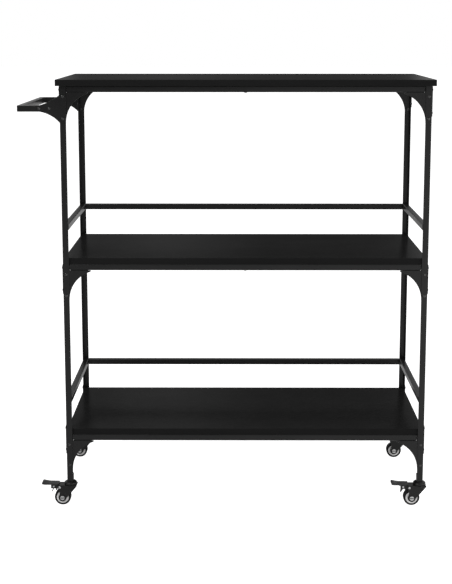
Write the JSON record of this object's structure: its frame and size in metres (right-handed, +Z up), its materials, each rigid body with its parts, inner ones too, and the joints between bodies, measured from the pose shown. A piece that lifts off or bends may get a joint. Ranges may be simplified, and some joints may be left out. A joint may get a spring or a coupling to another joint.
{
  "type": "bar cart",
  "caption": "Long black kitchen or bar cart: top board and two railed shelves on a steel angle frame, arched gussets, U push handle, swivel castors, front ones braked.",
  "frame": {"origin": "on the floor, under the middle of the whole cart's box, the handle included", "axes": "+X runs along the cart away from the push handle, -Y is the front with the braked castors, +Z is up"},
  "size_m": [0.993, 0.35, 1.055],
  "materials": {
    "black_laminate": "satin black laminate on chipboard",
    "black_steel": "satin black powder coat",
    "screw_steel": "black zinc plate",
    "zinc_steel": "bright zinc plate",
    "pedal_plastic": "fine-grained moulded nylon",
    "hub_plastic": "light grey moulded plastic",
    "tyre_rubber": "smooth matt black tread"
  },
  "bodies": {
    "frame": {"top_board": "black_laminate", "middle_shelf": "black_laminate", "lower_shelf": "black_laminate", "post_front_left": "black_steel", "post_front_right": "black_steel", "post_back_left": "black_steel", "post_back_right": "black_steel", "top_front_beam": "black_steel", "top_back_beam": "black_steel", "top_left_beam": "black_steel", "top_right_beam": "black_steel", "middle_front_beam": "black_steel", "middle_back_beam": "black_steel", "middle_left_beam": "black_steel", "middle_right_beam": "black_steel", "lower_front_beam": "black_steel", "lower_back_beam": "black_steel", "lower_left_beam": "black_steel", "lower_right_beam": "black_steel", "middle_back_rail": "black_steel", "middle_left_rail": "black_steel", "middle_right_rail": "black_steel", "lower_back_rail": "black_steel", "lower_left_rail": "black_steel", "lower_right_rail": "black_steel", "gussets": "black_steel", "side_plates": "black_steel", "handle_bar": "black_steel", "handle_brackets": "black_steel", "handle_bolts": "screw_steel", "frame_bolts": "screw_steel", "frame_nuts": "screw_steel", "side_screws": "screw_steel", "shelf_screws": "screw_steel", "rail_screws": "screw_steel", "foot_blocks": "black_steel", "castor_stems": "zinc_steel", "castor_cups": "black_steel"},
    "castor_front_left": {"fork_front_left": "black_steel", "axle_front_left": "zinc_steel", "brake_pin_front_left": "zinc_steel"},
    "wheel_front_left": {"tyre_front_left": "tyre_rubber", "hub_front_left": "hub_plastic"},
    "castor_front_right": {"fork_front_right": "black_steel", "axle_front_right": "zinc_steel", "brake_pin_front_right": "zinc_steel"},
    "wheel_front_right": {"tyre_front_right": "tyre_rubber", "hub_front_right": "hub_plastic"},
    "castor_back_left": {"fork_back_left": "black_steel", "axle_back_left": "zinc_steel"},
    "wheel_back_left": {"tyre_back_left": "tyre_rubber", "hub_back_left": "hub_plastic"},
    "castor_back_right": {"fork_back_right": "black_steel", "axle_back_right": "zinc_steel"},
    "wheel_back_right": {"tyre_back_right": "tyre_rubber", "hub_back_right": "hub_plastic"},
    "brake_front_left": {"brake_lever_front_left": "black_steel", "brake_pad_front_left": "pedal_plastic"},
    "brake_front_right": {"brake_lever_front_right": "black_steel", "brake_pad_front_right": "pedal_plastic"}
  },
  "joints": [
    {"name": "swivel_front_left", "type": "hinge", "parent": "frame", "child": "castor_front_left", "pos_m": [-0.387, -0.1585, 0.05], "axis": [0, 0, 1], "continuous": true},
    {"name": "roll_front_left", "type": "hinge", "parent": "castor_front_left", "child": "wheel_front_left", "pos_m": [-0.4065, -0.1585, 0.02], "axis": [0, 1, 0], "continuous": true},
    {"name": "swivel_front_right", "type": "hinge", "parent": "frame", "child": "castor_front_right", "pos_m": [0.48, -0.1585, 0.05], "axis": [0, 0, 1], "continuous": true},
    {"name": "roll_front_right", "type": "hinge", "parent": "castor_front_right", "child": "wheel_front_right", "pos_m": [0.4605, -0.1585, 0.02], "axis": [0, 1, 0], "continuous": true},
    {"name": "swivel_back_left", "type": "hinge", "parent": "frame", "child": "castor_back_left", "pos_m": [-0.387, 0.1585, 0.05], "axis": [0, 0, 1], "continuous": true},
    {"name": "roll_back_left", "type": "hinge", "parent": "castor_back_left", "child": "wheel_back_left", "pos_m": [-0.4065, 0.1585, 0.02], "axis": [0, 1, 0], "continuous": true},
    {"name": "swivel_back_right", "type": "hinge", "parent": "frame", "child": "castor_back_right", "pos_m": [0.48, 0.1585, 0.05], "axis": [0, 0, 1], "continuous": true},
    {"name": "roll_back_right", "type": "hinge", "parent": "castor_back_right", "child": "wheel_back_right", "pos_m": [0.4605, 0.1585, 0.02], "axis": [0, 1, 0], "continuous": true},
    {"name": "brake_front_left", "type": "hinge", "parent": "castor_front_left", "child": "brake_front_left", "pos_m": [-0.4127, -0.1585, 0.0468], "axis": [0, -1, 0], "range_deg": [0, 15]},
    {"name": "brake_front_right", "type": "hinge", "parent": "castor_front_right", "child": "brake_front_right", "pos_m": [0.4543, -0.1585, 0.0468], "axis": [0, -1, 0], "range_deg": [0, 15]}
  ]
}
